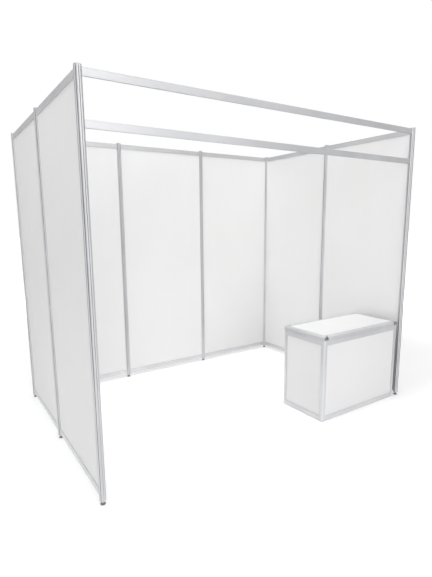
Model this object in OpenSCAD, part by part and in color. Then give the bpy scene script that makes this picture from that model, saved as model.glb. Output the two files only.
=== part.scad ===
// Three-sided exhibition stand wall with a fascia frame and a counter, all in one
// system of grooved eight-sided uprights, flat beams and thin white panels.
// Millimetres, +Z up. X runs along the open front, Y towards the back wall.
// The origin is on the floor, in the middle of the stand's outline.

/* [Layout of the walls] */
// Distance between neighbouring uprights along the back wall
bay_w = 990; // [600:10:1500]
// Distance between neighbouring uprights along each side wall
bay_d = 990; // [600:10:1500]
// Height of the top ends of the uprights above the floor
wall_h = 2500; // [2200:10:3000]
// How far the uprights stand up past the top beams
upright_rise = 10; // [0:1:30]
// Height of the lower ends of the uprights above the floor
foot_h = 22; // [20:1:34]
// Height of the underside of the bottom beams above the floor
skirt_gap = 36; // [24:1:60]
// Distance from the top fascia beam's top edge down to that of the lower one
fascia_drop = 257; // [120:1:500]

/* [Upright section] */
// Width of the upright from flat to flat
upright_af = 40; // [38:0.5:44]
// Radius that eases the eight long corners, measured from the axis
upright_corner_r = 21.4; // [20.8:0.1:24]
// Width of the mouth of each groove
mouth_w = 5; // [4.8:0.1:5.6]
// Thickness of the two lips beside each mouth
lip_t = 2; // [1.2:0.1:2.2]
// Width of the groove behind its lips
groove_w = 7.2; // [6.6:0.1:7.6]
// Depth of the groove from the flat to its floor
groove_depth = 9.5; // [8.5:0.1:10]
// Wall left round the long chamber behind each corner
chamber_wall = 1.4; // [1:0.1:1.6]
// Radius of the plain hole down the core
core_r = 4.25; // [3.5:0.05:4.6]
// Radius of the threaded ends of the core
core_thread_r = 5.2; // [5:0.05:5.8]
// Depth of the thread at the top end
top_thread_len = 30; // [15:1:60]
// Depth of the thread at the foot end
foot_thread_len = 70; // [66:1:120]

/* [Beam section] */
// Height of every beam
beam_h = 44; // [42:1:60]
// Thickness of every beam
beam_t = 16; // [15:0.5:16.4]
// Radius of the beam's long edges
beam_edge_r = 1.2; // [0.5:0.1:1.6]
// Thickness of the beam's outer walls
beam_wall = 1.6; // [1.2:0.1:2]
// Width of the panel groove in the beam's edges
slot_w = 4.6; // [4.4:0.1:5]
// Depth of the panel groove in the beam's edges
slot_depth = 10; // [9.5:0.5:11]
// Thickness of the walls and floor of that groove
slot_wall = 1.4; // [1:0.1:1.6]
// Distance of the two score lines from the beam's edges
score_inset = 6; // [4:0.5:9]
// Depth of the score lines
score_depth = 0.5; // [0.3:0.1:0.8]

/* [Panels] */
// Thickness of the white panels
panel_t = 4; // [3:0.1:4.2]
// How far a panel reaches into an upright's groove
panel_grip = 9; // [6:0.5:9.2]
// Clearance between a panel and the floor of a beam's groove
panel_seat = 0.2; // [0.1:0.1:0.5]

/* [Tension lock] */
// Length of the lock's body inside the beam
lock_len = 46; // [36:1:70]
// Distance from the beam's end to the key hole
key_inset = 24; // [18:1:32]
// Radius of the key hole in the beam's face
key_hole_r = 4; // [3.6:0.1:5]
// Reach of the two tongues into the upright's groove
tongue_reach = 8; // [6:0.5:8.2]
// Height of the tongues
tongue_h = 17; // [12:0.5:18]
// Slit between the two tongues
tongue_slit = 1; // [0.6:0.1:1.4]
// Key size of the hexagon socket in the cam
key_af = 4; // [3:0.5:5]

/* [Levelling foot] */
// Radius of the foot's round pad
pad_r = 17; // [14:0.5:20]
// Thickness of the pad at its rim
pad_t = 4; // [3:0.5:6]
// Height of the cone on the pad
pad_cone = 4; // [3:0.5:5]
// Key size of the hexagon above the pad
hex_af = 17; // [13:1:19]
// Radius of the stud
stud_r = 5; // [4:0.1:5.1]
// Length of the stud inside the upright at rest
stud_len = 42; // [30:1:60]

/* [Counter] */
// Outside width of the counter
counter_w = 990; // [700:10:1300]
// Outside depth of the counter
counter_d = 480; // [400:10:700]
// Height of the counter
counter_h = 750; // [650:10:1100]
// Gap between the counter and the right wall's uprights
counter_gap = 43; // [5:1:100]
// How far the counter stands back from the front of the walls
counter_setback = 10; // [0:1:200]
// Height of the underside of the counter's bottom beams
counter_skirt = 1; // [1:1:20]
// Width of the counter's corner posts
post_w = 36; // [34:1:44]
// Radius of the corner posts' outer corner
post_nose_r = 14; // [4:1:15]
// Thickness of the corner posts' outer walls
post_wall = 2; // [1.6:0.1:2.4]
// Height of the rim rail round the counter's top
rim_h = 36; // [32:1:50]
// Width of the rim rail
rim_w = 48; // [42:1:54]
// Radius of the rim rail's outer top edge
rim_top_r = 18; // [10:0.5:20]
// Radius of the rim rail's outer bottom edge
rim_low_r = 5; // [2:0.5:8]
// Thickness of the rim rail's walls
rim_wall = 2.2; // [1.6:0.1:3]
// Distance of the screw tube's axis from the rim rail's outer face
rim_tube_inset = 21; // [18:0.5:24]
// Height of that axis above the rim rail's underside
rim_tube_z = 15; // [12:0.5:16]
// Outer radius of the screw tube inside the rim rail
rim_tube_r = 6.5; // [5:0.1:7]
// Radius of the hole in that screw tube
rim_hole_r = 3.4; // [2.5:0.1:4]
// Thickness of the top board
top_board_t = 10; // [6:0.5:12]
// Width of the ledge that carries the top board
ledge_w = 12; // [8:0.5:14]
// Thickness of the base board
base_board_t = 12; // [6:1:19]

/* [Sliding doors] */
// Thickness of the two doors
door_t = 4; // [3:0.1:4.2]
// How far the doors lie over each other when shut
door_overlap = 30; // [10:1:80]
// Width of each groove in the door tracks
track_slot = 4.8; // [4.6:0.1:5]
// Thickness of the three upright ribs of a door track
track_rib = 1.2; // [1:0.1:1.4]
// Height of the bottom track
low_track_h = 8; // [6:0.5:12]
// Height of the top track
high_track_h = 15; // [13:0.5:20]
// Thickness of the floor of each track groove
track_floor = 2; // [1.4:0.1:2.6]
// Room left over the bottom track's ribs when a door is lifted out
lift_room = 0.5; // [0.3:0.1:1]
// Radius of the finger pull's flange
pull_flange_r = 17; // [15:0.5:22]
// Thickness of that flange
pull_flange_t = 1; // [0.6:0.1:1.4]
// Radius of the cup in the finger pull
pull_cup_r = 12.5; // [10:0.5:12.8]
// Distance of the finger pulls from the doors' outer edges
pull_inset = 60; // [40:1:120]

/* [Clearances] */
// Gap where one flat face seats on another
seat_gap = 0.2; // [0.1:0.05:0.4]
// Gap round a piece that slides or turns in another
run_gap = 0.3; // [0.2:0.05:0.4]

/* [Hidden] */

$fn = 48;
eps = 0.01;
alu = "#c9cbcc";
steel = "#9fa3a6";
white = "#f4f4f2";
grey = "#6f7274";

// Half widths and levels that several pieces share
flat = upright_af / 2;
vertex_r = flat / cos(22.5);
top_edge_z = wall_h - upright_rise;
top_beam_z = top_edge_z - beam_h;
low_fascia_z = top_edge_z - fascia_drop - beam_h;
counter_beam_z = counter_h - rim_h - beam_h;
side_x = 1.5 * bay_w;
counter_c = [side_x - flat - counter_gap - counter_w / 2,
    -bay_d - flat + counter_setback + counter_d / 2];
post_x = (counter_w - post_w) / 2;
post_y = (counter_d - post_w) / 2;
desk_x = (counter_w - beam_t) / 2;
desk_y = (counter_d - beam_t) / 2;

// A bay is [x, y, turn, clear width between its posts]. Turned back to 0 it runs along X
// and its inner side faces -Y. The counter's bays lie flush with its posts' outer faces.
clear_w = bay_w - upright_af;
clear_d = bay_d - upright_af;
left_front = [-side_x, -bay_d / 2, 90, clear_d];
left_rear = [-side_x, bay_d / 2, 90, clear_d];
back_left = [-bay_w, bay_d, 0, clear_w];
back_middle = [0, bay_d, 0, clear_w];
back_right = [bay_w, bay_d, 0, clear_w];
right_rear = [side_x, bay_d / 2, -90, clear_d];
right_front = [side_x, -bay_d / 2, -90, clear_d];
front_span = [0, -bay_d, 180, 3 * bay_w - upright_af];
desk_front = [counter_c[0], counter_c[1] - desk_y, 180, counter_w - 2 * post_w];
desk_rear = [counter_c[0], counter_c[1] + desk_y, 0, counter_w - 2 * post_w];
desk_left = [counter_c[0] - desk_x, counter_c[1], 90, counter_d - 2 * post_w];
desk_right = [counter_c[0] + desk_x, counter_c[1], -90, counter_d - 2 * post_w];
wall_bays = [left_front, left_rear, back_left, back_middle, back_right, right_rear,
    right_front];
desk_long = [desk_front, desk_rear];
desk_short = [desk_left, desk_right];
desk_bays = concat(desk_long, desk_short);

// Every beam's bay and the height of its underside
beam_places = concat(
    [for (b = wall_bays, z = [top_beam_z, skirt_gap]) [b, z]],
    [for (z = [top_beam_z, low_fascia_z]) [front_span, z]],
    [for (b = desk_bays, z = [counter_beam_z, counter_skirt]) [b, z]]);

module in_bay(bay) {
    translate([bay[0], bay[1], 0])
        rotate([0, 0, bay[2]])
            children();
}

// Upright: eight grooves behind lips, eight corner chambers and a drilled core
module groove_2d() {
    translate([flat - lip_t - eps, -mouth_w / 2])
        square([lip_t + 1, mouth_w]);
    translate([flat - groove_depth, -groove_w / 2])
        square([groove_depth - lip_t, groove_w]);
}

// The chamber is the wedge between two grooves, held back from them by one wall
function chamber_half(r) = r * tan(22.5) - (groove_w / 2 + chamber_wall) / cos(22.5);
chamber_out = vertex_r - chamber_wall / cos(22.5) - 1;
chamber_in = (groove_w / 2 + chamber_wall + 0.6) / sin(22.5);

module chamber_2d() {
    rotate(22.5)
        polygon([
            [chamber_in, -chamber_half(chamber_in)],
            [chamber_out, -chamber_half(chamber_out) + 0.6],
            [chamber_out, chamber_half(chamber_out) - 0.6],
            [chamber_in, chamber_half(chamber_in)]]);
}

module upright_2d() {
    difference() {
        intersection() {
            rotate(22.5)
                circle(r = vertex_r, $fn = 8);
            circle(r = upright_corner_r, $fn = 96);
        }
        for (k = [0:7])
            rotate(45 * k) {
                groove_2d();
                chamber_2d();
            }
        circle(r = core_r);
    }
}

module upright(i, j) {
    len = wall_h - foot_h;
    color(alu)
        translate([i * bay_w, j * bay_d, foot_h])
            difference() {
                linear_extrude(height = len)
                    upright_2d();
                translate([0, 0, -1])
                    cylinder(r = core_thread_r, h = foot_thread_len + 1);
                translate([0, 0, len - top_thread_len])
                    cylinder(r = core_thread_r, h = top_thread_len + 1);
            }
}

// Cuts that round the section's corner at the origin
module edge_round_2d(r) {
    difference() {
        translate([-1, -1])
            square(r + 1);
        translate([r, r])
            circle(r = r);
    }
}

// Counter post: square with one rounded corner at -X -Y and a groove behind each bay's line
post_half = post_w / 2;
post_line = post_half - beam_t / 2;

module post_shell_2d(inset, r) {
    difference() {
        square(post_w - 2 * inset, center = true);
        translate([inset - post_half, inset - post_half])
            edge_round_2d(r);
    }
}

module post_groove_2d() {
    translate([post_half - flat, -post_line])
        groove_2d();
}

module post_block_2d() {
    block = groove_depth + chamber_wall;
    translate([post_half - block, -post_half])
        square([block, post_half - post_line + groove_w / 2 + chamber_wall]);
}

module across_2d() {
    children();
    mirror([1, -1, 0])
        children();
}

module post_2d() {
    difference() {
        post_shell_2d(0, post_nose_r);
        across_2d()
            post_groove_2d();
        difference() {
            post_shell_2d(post_wall, post_nose_r - post_wall);
            across_2d()
                post_block_2d();
            across_2d()
                square([post_w, chamber_wall], center = true);
            circle(r = core_r + chamber_wall);
        }
        circle(r = core_r);
    }
}

module counter_post(i, j) {
    color(alu)
        translate([counter_c[0] + i * post_x, counter_c[1] + j * post_y, 0])
            mirror([(i + 1) / 2, 0, 0])
                mirror([0, (j + 1) / 2, 0])
                    linear_extrude(height = counter_h - rim_h - seat_gap)
                        post_2d();
}

// Beam section in the XY plane: X is the thickness, Y the height, Y = 0 the underside
module rounded_2d(w, h, r) {
    translate([-w / 2, r])
        square([w, h - 2 * r]);
    translate([-w / 2 + r, 0])
        square([w - 2 * r, h]);
    for (sx = [-1, 1], y = [r, h - r])
        translate([sx * (w / 2 - r), y])
            circle(r = r, $fn = 24);
}

core_low = slot_depth + slot_wall;
side_room = (beam_t - slot_w) / 2 - slot_wall - beam_wall;

module beam_edge_cuts_2d() {
    translate([-slot_w / 2, -1])
        square([slot_w, slot_depth + 1]);
    for (s = [-1, 1]) {
        translate([s * (slot_w / 2 + slot_wall + side_room / 2) - side_room / 2,
            slot_wall])
            square([side_room, slot_depth - slot_wall]);
        translate([s * beam_t / 2, score_inset])
            rotate(45)
                square(score_depth * sqrt(2), center = true);
    }
}

module beam_2d() {
    difference() {
        rounded_2d(beam_t, beam_h, beam_edge_r);
        beam_edge_cuts_2d();
        translate([0, beam_h])
            mirror([0, 1])
                beam_edge_cuts_2d();
        translate([-beam_t / 2 + beam_wall, core_low])
            square([beam_t - 2 * beam_wall, beam_h - 2 * core_low]);
    }
}

function beam_len(bay) = bay[3] - 2 * seat_gap;

module beam(bay, z) {
    color(alu)
        in_bay(bay)
            difference() {
                translate([-beam_len(bay) / 2, 0, z])
                    rotate([90, 0, 90])
                        linear_extrude(height = beam_len(bay))
                            beam_2d();
                for (s = [-1, 1])
                    translate([s * (beam_len(bay) / 2 - key_inset), -beam_t, z + beam_h / 2])
                        rotate([-90, 0, 0])
                            cylinder(r = key_hole_r, h = beam_t);
            }
}

// Tension lock: X = 0 is the beam's end, +X points into the upright's groove
lock_body_h = beam_h - 2 * core_low - 2 * run_gap;
lock_body_t = beam_t - 2 * beam_wall - 2 * run_gap;
tongue_t = mouth_w - 2 * run_gap;
barb_t = groove_w - 2 * run_gap;
barb_x = seat_gap + lip_t + run_gap;
cam_r = key_hole_r - run_gap;

module tongue_2d() {
    difference() {
        polygon([
            [-4, -tongue_t / 2], [barb_x, -tongue_t / 2], [barb_x, -barb_t / 2],
            [barb_x + 2, -barb_t / 2], [tongue_reach, -tongue_t / 2 + 0.6],
            [tongue_reach, tongue_t / 2 - 0.6], [barb_x + 2, barb_t / 2],
            [barb_x, barb_t / 2], [barb_x, tongue_t / 2], [-4, tongue_t / 2]]);
        translate([-2, -tongue_slit / 2])
            square([tongue_reach + 3, tongue_slit]);
    }
}

module lock_body() {
    translate([0, 0, -tongue_h / 2])
        linear_extrude(height = tongue_h)
            tongue_2d();
    difference() {
        translate([-lock_len, -lock_body_t / 2, -lock_body_h / 2])
            cube([lock_len - 3, lock_body_t, lock_body_h]);
        translate([-key_inset, 0, 0])
            rotate([90, 0, 0])
                cylinder(r = cam_r + run_gap, h = beam_t, center = true);
    }
}

module lock_cam() {
    face_y = -beam_t / 2 + 0.5;
    translate([-key_inset, 0, 0])
        rotate([90, 0, 0])
            difference() {
                translate([0, 0, -lock_body_t / 2])
                    cylinder(r = cam_r, h = lock_body_t / 2 - face_y);
                translate([0, 0, -face_y - 4])
                    cylinder(r = key_af / 2 / cos(30), h = 5, $fn = 6);
            }
}

module at_beam_ends() {
    for (p = beam_places, s = [0, 1])
        in_bay(p[0])
            mirror([s, 0, 0])
                translate([beam_len(p[0]) / 2, 0, p[1] + beam_h / 2])
                    children();
}

module beam_locks() {
    color(steel)
        at_beam_ends()
            lock_body();
}

module lock_cams() {
    color(steel)
        at_beam_ends()
            lock_cam();
}

// Levelling foot: pad, cone, hexagon and a stud that runs up the upright's core
module foot(i, j) {
    hex_z = pad_t + pad_cone;
    hex_r = hex_af / 2 / cos(30);
    hex_top = foot_h - seat_gap;
    color(grey)
        translate([i * bay_w, j * bay_d, 0]) {
            rotate_extrude()
                polygon([
                    [0, 0], [pad_r - 1, 0], [pad_r, 1], [pad_r, pad_t],
                    [hex_af / 2, hex_z + eps], [0, hex_z + eps]]);
            intersection() {
                translate([0, 0, hex_z])
                    cylinder(r = hex_r, h = foot_h - hex_z, $fn = 6);
                rotate_extrude()
                    polygon([
                        [0, hex_z - 1], [hex_r + 1, hex_z - 1], [hex_r + 1, hex_top - 1.5],
                        [hex_af / 2 - 0.2, hex_top], [0, hex_top]]);
            }
            translate([0, 0, hex_z])
                cylinder(r = stud_r, h = foot_h - hex_z + stud_len - 1);
            translate([0, 0, foot_h + stud_len - 1 - eps])
                cylinder(r1 = stud_r, r2 = stud_r - 1, h = 1);
        }
}

// Panels stand on the lower beam's groove floor and reach into the uprights' grooves
module panel_between(bay, low_beam_z, high_beam_z) {
    z0 = low_beam_z + beam_h - slot_depth + panel_seat;
    z1 = high_beam_z + panel_grip;
    w = bay[3] + 2 * panel_grip;
    color(white)
        in_bay(bay)
            translate([-w / 2, -panel_t / 2, z0])
                cube([w, panel_t, z1 - z0]);
}

module wall_panel(bay) {
    panel_between(bay, skirt_gap, top_beam_z);
}

module counter_panels(bays) {
    for (b = bays)
        panel_between(b, counter_skirt, counter_beam_z);
}

module counter_beams(bays, z) {
    for (b = bays)
        beam(b, z);
}

// Rim rail section: X = 0 is the outer face, Y = 0 the underside, the ledge is inside.
// A screw tube stands on a web in the hollow nose.
ledge_z = rim_h - top_board_t - seat_gap - 0.6;

module rim_outline_2d() {
    difference() {
        square([rim_w, rim_h]);
        edge_round_2d(rim_low_r);
        translate([0, rim_h])
            mirror([0, 1])
                edge_round_2d(rim_top_r);
        translate([rim_w - ledge_w, ledge_z])
            square([ledge_w + 1, rim_h]);
    }
}

module rim_hollow_2d() {
    difference() {
        translate([rim_wall, rim_wall])
            square([rim_w - 2 * rim_wall, rim_h - 2 * rim_wall]);
        translate([rim_wall, rim_wall])
            edge_round_2d(max(rim_low_r - rim_wall, 0.5));
        translate([rim_wall, rim_h - rim_wall])
            mirror([0, 1])
                edge_round_2d(rim_top_r - rim_wall);
        translate([rim_w - ledge_w - rim_wall, ledge_z - rim_wall])
            square([ledge_w + rim_wall + 1, rim_h]);
    }
}

module rim_2d() {
    difference() {
        union() {
            difference() {
                rim_outline_2d();
                rim_hollow_2d();
            }
            translate([rim_tube_inset, rim_tube_z])
                circle(r = rim_tube_r);
            translate([rim_tube_inset - rim_tube_r / 2, rim_wall / 2])
                square([rim_tube_r, rim_tube_z]);
        }
        translate([rim_tube_inset, rim_tube_z])
            circle(r = rim_hole_r);
    }
}

// A rail of length len, centred in its bay, with its outer face flush with the beams
module rim_rail(bay, len) {
    color(alu)
        in_bay(bay)
            translate([-len / 2, beam_t / 2, counter_h - rim_h])
                rotate([90, 0, 90])
                    mirror([1, 0])
                        linear_extrude(height = len)
                            rim_2d();
}

// The side rails run over the whole depth, so their open ends show at the front
module counter_rim_long() {
    for (b = desk_long)
        rim_rail(b, counter_w - 2 * (rim_w + seat_gap));
}

module counter_rim_short() {
    for (b = desk_short)
        rim_rail(b, counter_d);
}

module counter_top_board() {
    w = counter_w - 2 * (rim_w - ledge_w + seat_gap);
    d = counter_d - 2 * (rim_w - ledge_w + seat_gap);
    color(white)
        translate([counter_c[0] - w / 2, counter_c[1] - d / 2,
            counter_h - rim_h + ledge_z + seat_gap])
            cube([w, d, top_board_t]);
}

// The base board lies on the inner edges of the bottom beams, notched round the posts
track_w = 2 * track_slot + 3 * track_rib;
track_y = (beam_t - track_w) / 2;

module counter_base_board() {
    side = desk_x - panel_t / 2 - run_gap;
    front = -desk_y + panel_t / 2 + run_gap;
    rear = desk_y + track_y - track_w / 2 - seat_gap;
    notch = post_w + 2 * run_gap;
    color(white)
        translate([counter_c[0], counter_c[1], counter_skirt + beam_h + seat_gap])
            difference() {
                translate([-side, front, 0])
                    cube([2 * side, rear - front, base_board_t]);
                for (sx = [-1, 1], sy = [-1, 1])
                    translate([sx * post_x - notch / 2, sy * post_y - notch / 2, -1])
                        cube([notch, notch, base_board_t + 2]);
            }
}

// Door tracks: two open grooves each, the top ones deep enough to lift a door in.
// They lie flush with the beams' outer faces, so the base board finds a ledge inside.
module track_2d(h) {
    difference() {
        translate([-track_w / 2, 0])
            square([track_w, h]);
        for (s = [-1, 1])
            translate([s * (track_slot + track_rib) / 2 - track_slot / 2, track_floor])
                square([track_slot, h]);
    }
}

low_track_z = counter_skirt + beam_h + seat_gap;
high_track_z = counter_beam_z - seat_gap;

module counter_door_tracks() {
    color(alu)
        in_bay(desk_rear) {
            translate([-beam_len(desk_rear) / 2, track_y, low_track_z])
                rotate([90, 0, 90])
                    linear_extrude(height = beam_len(desk_rear))
                        track_2d(low_track_h);
            translate([-beam_len(desk_rear) / 2, track_y, high_track_z])
                rotate([90, 0, 90])
                    mirror([0, 1])
                        linear_extrude(height = beam_len(desk_rear))
                            track_2d(high_track_h);
        }
}

door_w = (beam_len(desk_rear) + door_overlap) / 2 - run_gap;
door_z0 = low_track_z + track_floor + run_gap;
door_z1 = high_track_z - high_track_h + low_track_h - track_floor - lift_room;
door_pitch = track_slot + track_rib;
pull_z = (door_z0 + door_z1) / 2;
pull_body_r = pull_cup_r + 1.5;

function door_edge(s) = s * (beam_len(desk_rear) / 2 - run_gap);
function door_y(s) = track_y + s * door_pitch / 2;

// s = -1 is the left door in the inner groove, s = 1 the right door in the outer one
module door(s) {
    x_out = door_edge(s);
    color(white)
        in_bay(desk_rear)
            difference() {
                translate([min(x_out, x_out - s * door_w), door_y(s) - door_t / 2, door_z0])
                    cube([door_w, door_t, door_z1 - door_z0]);
                translate([x_out - s * pull_inset, door_y(s), pull_z])
                    rotate([90, 0, 0])
                        cylinder(r = pull_body_r + run_gap, h = 2 * door_t, center = true);
            }
}

module finger_pull(s) {
    color(grey)
        in_bay(desk_rear)
            translate([door_edge(s) - s * pull_inset, door_y(s) + door_t / 2, pull_z])
                rotate([90, 0, 0])
                    difference() {
                        union() {
                            translate([0, 0, -pull_flange_t - seat_gap / 2])
                                cylinder(r = pull_flange_r, h = pull_flange_t);
                            translate([0, 0, -pull_flange_t])
                                cylinder(r = pull_body_r, h = pull_flange_t + door_t);
                        }
                        translate([0, 0, -pull_flange_t - 1])
                            cylinder(r = pull_cup_r, h = door_t + 1);
                    }
}

upright(-1.5, -1);  // upright_front_left
upright(-1.5, 0);  // upright_mid_left
upright(-1.5, 1);  // upright_back_left
upright(-0.5, 1);  // upright_back_inner_left
upright(0.5, 1);  // upright_back_inner_right
upright(1.5, 1);  // upright_back_right
upright(1.5, 0);  // upright_mid_right
upright(1.5, -1);  // upright_front_right
foot(-1.5, -1);  // foot_front_left
foot(-1.5, 0);  // foot_mid_left
foot(-1.5, 1);  // foot_back_left
foot(-0.5, 1);  // foot_back_inner_left
foot(0.5, 1);  // foot_back_inner_right
foot(1.5, 1);  // foot_back_right
foot(1.5, 0);  // foot_mid_right
foot(1.5, -1);  // foot_front_right
wall_panel(left_front);  // panel_left_front
wall_panel(left_rear);  // panel_left_rear
wall_panel(back_left);  // panel_back_left
wall_panel(back_middle);  // panel_back_middle
wall_panel(back_right);  // panel_back_right
wall_panel(right_rear);  // panel_right_rear
wall_panel(right_front);  // panel_right_front
beam(left_front, top_beam_z);  // top_beam_left_front
beam(left_rear, top_beam_z);  // top_beam_left_rear
beam(back_left, top_beam_z);  // top_beam_back_left
beam(back_middle, top_beam_z);  // top_beam_back_middle
beam(back_right, top_beam_z);  // top_beam_back_right
beam(right_rear, top_beam_z);  // top_beam_right_rear
beam(right_front, top_beam_z);  // top_beam_right_front
beam(left_front, skirt_gap);  // bottom_beam_left_front
beam(left_rear, skirt_gap);  // bottom_beam_left_rear
beam(back_left, skirt_gap);  // bottom_beam_back_left
beam(back_middle, skirt_gap);  // bottom_beam_back_middle
beam(back_right, skirt_gap);  // bottom_beam_back_right
beam(right_rear, skirt_gap);  // bottom_beam_right_rear
beam(right_front, skirt_gap);  // bottom_beam_right_front
beam(front_span, top_beam_z);  // fascia_beam_upper
beam(front_span, low_fascia_z);  // fascia_beam_lower
beam_locks();
lock_cams();
counter_post(-1, -1);  // counter_post_front_left
counter_post(1, -1);  // counter_post_front_right
counter_post(-1, 1);  // counter_post_rear_left
counter_post(1, 1);  // counter_post_rear_right
counter_beams(desk_long, counter_skirt);  // counter_long_bottom_beams
counter_beams(desk_short, counter_skirt);  // counter_short_bottom_beams
counter_beams(desk_long, counter_beam_z);  // counter_long_top_beams
counter_beams(desk_short, counter_beam_z);  // counter_short_top_beams
counter_rim_long();
counter_rim_short();
counter_panels([desk_front]);  // counter_front_panel
counter_panels(desk_short);  // counter_side_panels
counter_top_board();
counter_base_board();
counter_door_tracks();
door(-1);  // counter_door_left
door(1);  // counter_door_right
finger_pull(-1);  // finger_pull_left
finger_pull(1);  // finger_pull_right
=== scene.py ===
# %% [markdown]
# # An empty exhibition stand of grooved uprights, beams and white panels
# The metal frame, the panels and the counter arrive as exact solids. This lesson dresses them: it
# gives every surface a finish built from nodes, makes the threaded feet as a mesh of their own,
# eases the edges of the boards, and lights the stand so that it looks as in an empty white hall.

# %% Load the frame
import math

import bmesh
import bpy
from mathutils import Matrix, Vector


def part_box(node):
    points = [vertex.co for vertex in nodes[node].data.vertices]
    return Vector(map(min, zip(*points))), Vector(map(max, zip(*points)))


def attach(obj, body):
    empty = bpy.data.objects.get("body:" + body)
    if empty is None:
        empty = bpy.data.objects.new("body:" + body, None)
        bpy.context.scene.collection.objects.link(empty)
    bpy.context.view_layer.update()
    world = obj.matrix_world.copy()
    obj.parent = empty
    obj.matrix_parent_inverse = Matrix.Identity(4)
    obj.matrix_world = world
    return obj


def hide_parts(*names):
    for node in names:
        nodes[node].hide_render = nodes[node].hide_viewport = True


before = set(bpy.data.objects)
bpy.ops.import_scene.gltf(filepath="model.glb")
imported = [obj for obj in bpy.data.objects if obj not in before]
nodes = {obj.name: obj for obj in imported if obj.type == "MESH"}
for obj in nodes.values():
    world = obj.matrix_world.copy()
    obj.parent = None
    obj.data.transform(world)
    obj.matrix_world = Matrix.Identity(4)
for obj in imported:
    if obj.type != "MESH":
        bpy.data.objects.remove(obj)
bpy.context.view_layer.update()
MM = 0.001

# %% [markdown]
# ## The eye of the visitor
# The stand is seen from outside its left front corner, at about standing eye height, with a fairly
# wide lens. A camera could be nudged by hand until it looks right. Here its place and its three
# angles come from a fit to the straight edges of the walls, so they are written as plain numbers,
# in metres and radians. The picture's middle is a little off the lens axis, as in a cropped
# picture: that is the shift.

# %% Camera
IMAGE_W, IMAGE_H = 432, 577
LONG_SIDE = max(IMAGE_W, IMAGE_H)
FOCAL_PX = 424.41
CENTRE_PX = (208.98, 295.82)
SENSOR = 36.0
EYE = Vector((-2.2073, -3.3194, 1.6914))
HEADING, DIP, TILT = -0.5759, 0.1712, -0.0111


def camera_axes(heading, dip, tilt):
    """The camera's right, up and forward directions."""
    ahead = Vector((-math.sin(heading) * math.cos(dip), math.cos(heading) * math.cos(dip),
                    -math.sin(dip)))
    right = Vector((math.cos(heading), math.sin(heading), 0))
    up = right.cross(ahead)
    return (math.cos(tilt) * right + math.sin(tilt) * up,
            math.cos(tilt) * up - math.sin(tilt) * right, ahead)


lens_data = bpy.data.cameras.new("visitor_eye")
lens_data.sensor_width = SENSOR
lens_data.lens = FOCAL_PX / LONG_SIDE * SENSOR
lens_data.shift_x = (IMAGE_W / 2 - CENTRE_PX[0]) / LONG_SIDE
lens_data.shift_y = (CENTRE_PX[1] - IMAGE_H / 2) / LONG_SIDE
camera = bpy.data.objects.new("visitor_eye", lens_data)
bpy.context.collection.objects.link(camera)
right, up, ahead = camera_axes(HEADING, DIP, TILT)
camera.matrix_world = Matrix.Translation(EYE) @ Matrix((right, up, -ahead)).transposed().to_4x4()
bpy.context.scene.camera = camera
bpy.context.scene.view_settings.view_transform = "Standard"
print("lens:", round(lens_data.lens, 2), "mm")

# %% [markdown]
# ## A small kit for finishes
# Every finish here is one Principled shader fed by a few noise patterns. A node tree can be drawn
# by hand, but a handful of helpers keeps it short and alike: one adds a node with its settings, one
# makes a noise whose grain can be drawn out along an axis, one turns a noise into a band of values,
# one into a mix of two tones, and one into a shallow relief. Object coordinates are used, and
# because every solid's object sits at the origin they are plain metres in the stand.

# %% Helpers: nodes
def add_node(tree, kind, **settings):
    """Adds a node; a setting that names a socket fills it, any other is the node's own."""
    node = tree.nodes.new(kind)
    for name, value in settings.items():
        if name in node.inputs:
            node.inputs[name].default_value = value
        else:
            setattr(node, name, value)
    return node


def new_finish(name):
    finish = bpy.data.materials.new(name)
    finish.use_nodes = True
    shader = finish.node_tree.nodes["Principled BSDF"]
    return finish, finish.node_tree, shader


def grain(tree, per_metre, detail):
    """A noise whose spots are 1 / per_metre wide along x, y and z."""
    place = add_node(tree, "ShaderNodeTexCoord")
    stretch = add_node(tree, "ShaderNodeMapping", Scale=per_metre)
    noise = add_node(tree, "ShaderNodeTexNoise", Scale=1.0, Detail=detail)
    tree.links.new(place.outputs["Object"], stretch.inputs["Vector"])
    tree.links.new(stretch.outputs["Vector"], noise.inputs["Vector"])
    return noise.outputs["Fac"]


print("node helpers:", add_node.__name__, new_finish.__name__, grain.__name__)

# %% Helpers: what a noise drives
# Nearly all of a noise's values lie between these two
NOISE_LOW, NOISE_HIGH = 0.3, 0.7


def spread(tree, value, reach, result, **settings):
    """Moves a value from the range reach to the range result, each a pair of numbers."""
    node = add_node(tree, "ShaderNodeMapRange", **settings)
    sockets = ("From Min", "From Max", "To Min", "To Max")
    for socket, number in zip(sockets, (*reach, *result)):
        node.inputs[socket].default_value = number
    tree.links.new(value, node.inputs["Value"])
    return node.outputs["Result"]


def two_tones(tree, value, dark, light):
    mix = add_node(tree, "ShaderNodeValToRGB")
    ends = ((NOISE_LOW, dark), (NOISE_HIGH, light))
    for stop, (position, tone) in zip(mix.color_ramp.elements, ends):
        stop.position = position
        stop.color = (*tone, 1)
    tree.links.new(value, mix.inputs["Fac"])
    return mix.outputs["Color"]


def set_roughness(tree, shader, value, sheen):
    rough = spread(tree, value, (NOISE_LOW, NOISE_HIGH), sheen)
    tree.links.new(rough, shader.inputs["Roughness"])


def set_relief(tree, shader, heights):
    """Chains one bump per (noise, depth in metres) pair into the shader's normal."""
    before = None
    for value, depth in heights:
        bump = add_node(tree, "ShaderNodeBump", Distance=depth, Strength=1.0)
        tree.links.new(value, bump.inputs["Height"])
        if before:
            tree.links.new(before, bump.inputs["Normal"])
        before = bump.outputs["Normal"]
    tree.links.new(before, shader.inputs["Normal"])


print("noise values used:", NOISE_LOW, "to", NOISE_HIGH)

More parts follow.
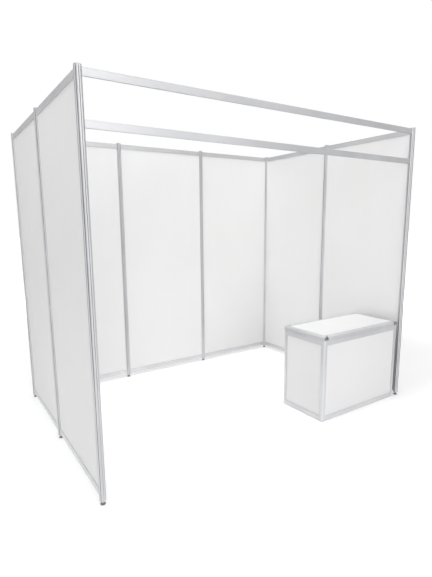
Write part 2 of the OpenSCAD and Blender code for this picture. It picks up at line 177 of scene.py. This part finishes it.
# %% [markdown]
# ## Anodised aluminium
# The uprights, beams and rails are drawn through a die and then etched and anodised. The die leaves
# faint straight lines along the bar, and the anodising a satin sheen with slow changes of tone. Its
# clear skin scatters part of the light, so the shader is only three quarters metal. A brushed look
# would be too strong, so the lines are a stretched noise that moves the roughness and a very
# shallow bump. Lines have to run along each bar: one finish is made for each direction.

# %% Aluminium, one finish for each direction of the bars
ALU_DARK = (0.594, 0.596, 0.610)
ALU_LIGHT = (0.672, 0.674, 0.690)
ALU_METAL = 0.75
ALU_SHEEN = (0.42, 0.54)
DIE_LINES_PER_M, ALONG_PER_M = 420.0, 1.2
CLOUDS_PER_M, ETCH_PER_M = (2.3, 2.3, 2.3), (2600, 2600, 2600)
LINE_DEPTH, ETCH_DEPTH = 0.00003, 0.00001


def anodised(axis):
    finish, tree, shader = new_finish("anodised_along_" + "xyz"[axis])
    across = [DIE_LINES_PER_M] * 3
    across[axis] = ALONG_PER_M
    lines = grain(tree, across, 2.0)
    cloud = grain(tree, CLOUDS_PER_M, 3.0)
    etch = grain(tree, ETCH_PER_M, 1.0)
    shader.inputs["Metallic"].default_value = ALU_METAL
    tree.links.new(two_tones(tree, cloud, ALU_DARK, ALU_LIGHT), shader.inputs["Base Color"])
    set_roughness(tree, shader, lines, ALU_SHEEN)
    set_relief(tree, shader, [(lines, LINE_DEPTH), (etch, ETCH_DEPTH)])
    return finish


alu_x, alu_y, alu_z = (anodised(axis) for axis in range(3))
print("aluminium finishes:", alu_x.name, alu_y.name, alu_z.name)

# %% [markdown]
# ## White laminate
# The wall panels and the doors are thin hard sheets with a matt white film on both faces. Film that
# is pressed on shows a fine orange peel, and sheets that are carried from hall to hall show a faint
# difference of tone and sheen. A flat white would look like paper, and strong dirt would be wrong
# for a stand on show, so all of it stays very weak.

# %% Panel and board finishes
FILM_SPECULAR = 0.35
TONES_PER_M, SCUFFS_PER_M, PEEL_PER_M = (1.7, 1.7, 1.1), (38, 38, 5), (700, 700, 700)
PEEL_DEPTH = 0.00002


def laminate(name, dark, light, sheen):
    finish, tree, shader = new_finish(name)
    cloud = grain(tree, TONES_PER_M, 5.0)
    scuff = grain(tree, SCUFFS_PER_M, 3.0)
    peel = grain(tree, PEEL_PER_M, 2.0)
    tree.links.new(two_tones(tree, cloud, dark, light), shader.inputs["Base Color"])
    set_roughness(tree, shader, scuff, sheen)
    shader.inputs["Specular IOR Level"].default_value = FILM_SPECULAR
    set_relief(tree, shader, [(peel, PEEL_DEPTH)])
    return finish


white_panel = laminate("matt_white_panel", (0.775, 0.775, 0.772), (0.800, 0.800, 0.800),
                       (0.50, 0.62))
white_board = laminate("matt_white_board", (0.765, 0.765, 0.762), (0.790, 0.790, 0.790),
                       (0.42, 0.55))
print("white finishes:", white_panel.name, white_board.name)

# %% [markdown]
# ## Zinc and moulded grey
# The locks are plated steel, bright with a crystalline mottle. The feet and the finger pulls are
# moulded, so they carry a fine even grain from the tool. Both could share one grey, but at arm's
# length the eye tells plated metal from plastic at once, so each has a small recipe of its own.

# %% Finishes of the small pieces
MOTTLE_PER_M, PEBBLE_PER_M, WEAR_PER_M = (320, 320, 320), (1400, 1400, 1400), (60, 60, 60)
MOTTLE_DEPTH, PEBBLE_DEPTH = 0.00002, 0.00004
ZINC_SHEEN = (0.26, 0.40)


def plated(name, dark, light):
    finish, tree, shader = new_finish(name)
    mottle = grain(tree, MOTTLE_PER_M, 4.0)
    shader.inputs["Metallic"].default_value = 1.0
    tree.links.new(two_tones(tree, mottle, dark, light), shader.inputs["Base Color"])
    set_roughness(tree, shader, mottle, ZINC_SHEEN)
    set_relief(tree, shader, [(mottle, MOTTLE_DEPTH)])
    return finish


def moulded(name, dark, light, sheen):
    finish, tree, shader = new_finish(name)
    pebble = grain(tree, PEBBLE_PER_M, 2.0)
    wear = grain(tree, WEAR_PER_M, 4.0)
    tree.links.new(two_tones(tree, wear, dark, light), shader.inputs["Base Color"])
    set_roughness(tree, shader, wear, sheen)
    set_relief(tree, shader, [(pebble, PEBBLE_DEPTH)])
    return finish


lock_zinc = plated("zinc_plated", (0.50, 0.51, 0.53), (0.62, 0.63, 0.64))
foot_grey = moulded("moulded_foot", (0.185, 0.188, 0.192), (0.250, 0.253, 0.256), (0.45, 0.62))
pull_grey = moulded("moulded_pull", (0.34, 0.345, 0.35), (0.42, 0.425, 0.43), (0.35, 0.50))
print("small finishes:", lock_zinc.name, foot_grey.name, pull_grey.name)

# %% [markdown]
# ## Which finish goes where
# Every solid's name says what it is and, for a bar, which way it runs. Finishes could be picked by
# hand in the viewport, but that would be lost with the next build of the solids. One function that
# reads the name does it for all sixty of them and always gives the same result.

# %% Put the finishes on the solids
def finish_of(name):
    if name.startswith(("upright", "counter_post")):
        return alu_z
    if name.startswith(("bottom_beam", "top_beam")):
        return alu_x if "_back_" in name else alu_y
    if name.startswith("fascia") or name == "counter_door_tracks" or "_long" in name:
        return alu_x
    if "_short" in name:
        return alu_y
    if name.startswith("lock") or name == "beam_locks":
        return lock_zinc
    if name.startswith("foot"):
        return foot_grey
    if name.startswith("finger"):
        return pull_grey
    return white_board if name.endswith("board") else white_panel


for name, solid in nodes.items():
    solid.data.materials.clear()
    solid.data.materials.append(finish_of(name))
print("dressed solids:", len(nodes))

# %% [markdown]
# ## Levelling feet
# Under every upright stands a moulded foot: a round pad, a cone, a hexagon for the spanner and a
# coarse threaded stud that runs up the upright's core. The solids have a plain stud, because a
# helix is costly as an exact shape. Here the foot is one closed skin: rows of points up the axis,
# where each point's distance from the axis depends on its height and, for the hexagon and the
# thread, also on its angle. A screw modifier would be the other way, but it leaves the thread as a
# separate skin. One mesh serves all eight feet, and each rides on its own foot.

# %% The foot's outline, in millimetres
STEPS = 48
# Pairs of radius and height for the pad with its cone, the neck under the stud and the stud's tip
PAD = [(12.4, 0.8), (13.0, 0.0), (15.6, 0.0), (16.6, 0.35), (17.0, 1.3), (17.0, 3.2), (16.7, 3.8),
       (16.0, 4.15), (13.2, 4.9), (11.0, 6.0), (9.9, 7.2)]
NECK = [(5.6, 21.8), (4.15, 21.9)]
TIP = [(3.9, 63.5), (3.2, 64.0)]
# Width of the hexagon over its flats, and its rows as pairs of height and greatest radius
HEX_AF = 17.0
HEXAGON = [(8.0, 9.4), (8.5, 9.65), (8.9, 9.75), (20.8, 9.75), (21.4, 9.2), (21.8, 8.5)]
# The thread: its ends, pitch, root radius and depth, how square its crest is, and its run-outs
STUD_FROM, STUD_TO = 22.0, 62.8
PITCH, ROOT_R, THREAD_DEPTH = 1.5, 4.15, 0.82
CREST_SQUARENESS, RUN_IN, RUN_OUT = 2.2, 1.0, 2.0
ROWS_PER_TURN = 8


def hexagon_radius(angle, limit):
    turn = angle % (math.pi / 3) - math.pi / 6
    return min(HEX_AF / 2 / math.cos(turn), limit)


def thread_radius(angle, height):
    wave = math.cos(2 * math.pi * height / PITCH - angle)
    crest = 0.5 + 0.5 * math.tanh(CREST_SQUARENESS * wave) / math.tanh(CREST_SQUARENESS)
    fade = min(1.0, (height - STUD_FROM) / RUN_IN, (STUD_TO - height) / RUN_OUT)
    return ROOT_R + THREAD_DEPTH * crest * fade


print("thread turns:", round((STUD_TO - STUD_FROM) / PITCH, 1))

# %% The foot's mesh
def foot_rows():
    """The angles of a row, and rows of (radius, height) from the pad to the tip."""
    angles = [2 * math.pi * k / STEPS for k in range(STEPS)]
    rows = [[pair] * STEPS for pair in PAD]
    rows += [[(hexagon_radius(a, limit), height) for a in angles] for height, limit in HEXAGON]
    rows += [[pair] * STEPS for pair in NECK]
    count = round((STUD_TO - STUD_FROM) / PITCH * ROWS_PER_TURN)
    for k in range(count + 1):
        height = STUD_FROM + (STUD_TO - STUD_FROM) * k / count
        rows.append([(thread_radius(a, height), height) for a in angles])
    rows += [[pair] * STEPS for pair in TIP]
    return angles, rows


SHARP_FROM_DEGREES = 38


def foot_mesh():
    angles, rows = foot_rows()
    points = [(r * MM * math.cos(a), r * MM * math.sin(a), z * MM)
              for row in rows for a, (r, z) in zip(angles, row)]
    faces = [(b + k, b + (k + 1) % STEPS, b + STEPS + (k + 1) % STEPS, b + STEPS + k)
             for b in range(0, STEPS * (len(rows) - 1), STEPS) for k in range(STEPS)]
    last = STEPS * (len(rows) - 1)
    faces += [tuple(reversed(range(STEPS))), tuple(range(last, last + STEPS))]
    mesh = bpy.data.meshes.new("levelling_foot")
    mesh.from_pydata(points, [], faces)
    mesh.shade_smooth()
    mesh.set_sharp_from_angle(angle=math.radians(SHARP_FROM_DEGREES))
    mesh.materials.append(foot_grey)
    return mesh


one_foot = foot_mesh()
print("foot points:", len(one_foot.vertices))

# %% Put a foot on each foot's body
for name in [n for n in nodes if n.startswith("foot_")]:
    low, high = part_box(name)
    piece = bpy.data.objects.new("moulded_" + name, one_foot)
    piece.location = ((low.x + high.x) / 2, (low.y + high.y) / 2, 0)
    bpy.context.collection.objects.link(piece)
    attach(piece, name)
    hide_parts(name)

# %% [markdown]
# ## Eased edges
# Boards and doors are sawn and edged, so their corners are a little round and catch a thin line of
# light. The solids keep them sharp. Rounding could be cut into the solids, but it is far below
# what the joints need, so a small bevel modifier on the shown mesh is enough.

# %% Bevels on the boards and the doors
EASE_WIDTH, EASE_SEGMENTS, EASE_FROM_DEGREES = 0.5 * MM, 2, 40
for name in ("counter_top_board", "counter_base_board", "counter_door_left", "counter_door_right"):
    ease = nodes[name].modifiers.new("eased_edges", "BEVEL")
    ease.width = EASE_WIDTH
    ease.segments = EASE_SEGMENTS
    ease.limit_method = "ANGLE"
    ease.angle_limit = math.radians(EASE_FROM_DEGREES)
print("eased:", [n for n in nodes if nodes[n].modifiers])

# %% [markdown]
# ## White floor
# In a product picture the floor fades into white. Brighter lamps would do that too, but they would
# burn out the white panels as well. So the floor is a pale matt sheet that also glows by itself,
# only for the camera and for what the metal mirrors. The glow depends on the distance from the
# stand's middle: close by it is low, so that the soft shadow under the walls stays, and further
# out it rises to white.

# %% How the floor glows
# Near and far distance in metres, and the glow's strength at each
GLOW_IN_METAL = ((2.2, 3.2), (0.27, 0.10))
GLOW_SEEN = ((3.0, 8.0), (0.18, 1.0))


def choose(tree, switch, off, on):
    """The value off or on, by the switch; each is a number or another node's output."""
    node = add_node(tree, "ShaderNodeMix", data_type="FLOAT")
    tree.links.new(switch, node.inputs["Factor"])
    for socket, value in (("A", off), ("B", on)):
        if isinstance(value, float):
            node.inputs[socket].default_value = value
        else:
            tree.links.new(value, node.inputs[socket])
    return node.outputs["Result"]


def floor_glow(tree, path):
    place = add_node(tree, "ShaderNodeTexCoord")
    away = add_node(tree, "ShaderNodeVectorMath", operation="LENGTH")
    tree.links.new(place.outputs["Object"], away.inputs[0])
    in_metal, seen = (spread(tree, away.outputs["Value"], *glow, interpolation_type="SMOOTHSTEP")
                      for glow in (GLOW_IN_METAL, GLOW_SEEN))
    glow = add_node(tree, "ShaderNodeEmission")
    strength = choose(tree, path.outputs["Is Camera Ray"], in_metal, seen)
    tree.links.new(strength, glow.inputs["Strength"])
    return glow.outputs["Emission"]


print("glow seen:", GLOW_SEEN[1][0], "near the stand,", GLOW_SEEN[1][1], "far away")

# %% Floor
FLOOR_HALF, FLOOR_DROP = 60, 0.5 * MM
FLOOR_TONE, FLOOR_ROUGHNESS = (0.90, 0.90, 0.90, 1), 0.9


def either(tree, first, second):
    """1 where at least one of two switches is on."""
    node = add_node(tree, "ShaderNodeMath", operation="MAXIMUM")
    tree.links.new(first, node.inputs[0])
    tree.links.new(second, node.inputs[1])
    return node.outputs[0]


def floor_finish():
    finish, tree, shader = new_finish("white_floor")
    shader.inputs["Base Color"].default_value = FLOOR_TONE
    shader.inputs["Roughness"].default_value = FLOOR_ROUGHNESS
    path = add_node(tree, "ShaderNodeLightPath")
    both = add_node(tree, "ShaderNodeAddShader")
    pick = add_node(tree, "ShaderNodeMixShader")
    seen = either(tree, path.outputs["Is Camera Ray"], path.outputs["Is Glossy Ray"])
    tree.links.new(shader.outputs["BSDF"], both.inputs[0])
    tree.links.new(floor_glow(tree, path), both.inputs[1])
    tree.links.new(seen, pick.inputs["Fac"])
    tree.links.new(shader.outputs["BSDF"], pick.inputs[1])
    tree.links.new(both.outputs["Shader"], pick.inputs[2])
    tree.links.new(pick.outputs["Shader"], tree.nodes["Material Output"].inputs["Surface"])
    return finish


def floor_sheet():
    mesh = bpy.data.meshes.new("floor")
    work = bmesh.new()
    bmesh.ops.create_grid(work, x_segments=1, y_segments=1, size=FLOOR_HALF)
    work.to_mesh(mesh)
    work.free()
    mesh.materials.append(floor_finish())
    sheet = bpy.data.objects.new("floor", mesh)
    sheet.location.z = -FLOOR_DROP
    bpy.context.collection.objects.link(sheet)
    return sheet


floor = floor_sheet()
print("floor:", floor.name, 2 * FLOOR_HALF, "m wide")

# %% [markdown]
# ## White hall
# Behind and above the stand the camera sees plain white. The metal mirrors something else: a hall
# that is dimmer at eye height and bright under its ceiling, which gives the bars their light and
# dark faces. And as light on the stand the hall counts for little, so that the lamps can shape it.
# A picture of a hall could do all three at once, but a world built from nodes stays plain and needs
# no file.

# %% Hall
HALL_LIGHT = 0.10
DIM_HALL, BRIGHT_CEILING = 0.56, 1.40
# The upward part of a direction: 0 at eye height, 1 straight up
CEILING_FROM, CEILING_TO = 0.35, 0.65


def white_hall():
    world = bpy.data.worlds.new("white_hall")
    bpy.context.scene.world = world
    world.use_nodes = True
    tree = world.node_tree
    back = tree.nodes["Background"]
    back.inputs["Color"].default_value = (1, 1, 1, 1)
    path = add_node(tree, "ShaderNodeLightPath")
    place = add_node(tree, "ShaderNodeTexCoord")
    height = add_node(tree, "ShaderNodeSeparateXYZ")
    tree.links.new(place.outputs["Generated"], height.inputs[0])
    mirrored = spread(tree, height.outputs["Z"], (CEILING_FROM, CEILING_TO),
                      (DIM_HALL, BRIGHT_CEILING), interpolation_type="SMOOTHSTEP")
    in_mirror = either(tree, path.outputs["Is Glossy Ray"], path.outputs["Is Transmission Ray"])
    unseen = choose(tree, in_mirror, HALL_LIGHT, mirrored)
    strength = choose(tree, path.outputs["Is Camera Ray"], unseen, 1.0)
    tree.links.new(strength, back.inputs["Strength"])
    return world


hall = white_hall()
print("hall:", hall.name, "mirrored from", DIM_HALL, "to", BRIGHT_CEILING)

# %% [markdown]
# ## Lamps
# A hall is lit by many lamps high up, so no shadow has an edge. Large area lamps do the same. Two
# hang above the stand, three stand in front, one is low at the left, and two light the back and
# the right side, which the visitor doesn't see. Their powers were balanced until the side walls,
# the back wall and the counter had their different tones. Four of them are hidden from the metal,
# or they would show in it as bright patches and wash out the top faces of the beams.

# %% Lamps
def soft_lamp(name, place, target, size, watts):
    data = bpy.data.lights.new(name, "AREA")
    data.shape = "RECTANGLE"
    data.size, data.size_y = size
    data.energy = watts
    lamp = bpy.data.objects.new(name, data)
    lamp.location = place
    lamp.rotation_euler = (Vector(target) - Vector(place)).to_track_quat("-Z", "Y").to_euler()
    bpy.context.collection.objects.link(lamp)
    return lamp


# Each lamp's name, place, what it looks at, its size in metres and its power in watts
lamps = [
    soft_lamp("ceiling_light", (0.0, -0.6, 6.0), (0.0, 0.0, 0.0), (6.0, 5.0), 201),
    soft_lamp("ceiling_left", (-3.6, 0.0, 6.0), (-2.4, 0.0, 0.0), (3.0, 5.0), 144),
    soft_lamp("front_high", (0.5, -7.0, 3.6), (0.2, 0.0, 1.0), (6.0, 4.0), 101),
    soft_lamp("front_near", (-1.0, -7.0, 2.6), (0.0, 0.0, 1.0), (6.0, 5.0), 139),
    soft_lamp("front_left", (-5.0, -6.0, 2.8), (0.0, 0.0, 1.2), (5.0, 5.0), 88),
    soft_lamp("left_low", (-7.0, 1.0, 1.6), (-1.5, 0.3, 1.0), (4.0, 3.0), 64),
    soft_lamp("back_fill", (1.0, 7.5, 1.7), (0.0, 1.0, 1.1), (6.0, 3.0), 200),
    soft_lamp("right_fill", (7.5, 0.5, 1.7), (1.5, 0.0, 1.1), (5.0, 3.0), 160),
]
HIDDEN_FROM_METAL = ("front_high", "front_left", "ceiling_light", "ceiling_left")
for lamp in lamps:
    lamp.visible_glossy = lamp.name not in HIDDEN_FROM_METAL
print("lamps:", [lamp.name for lamp in lamps])
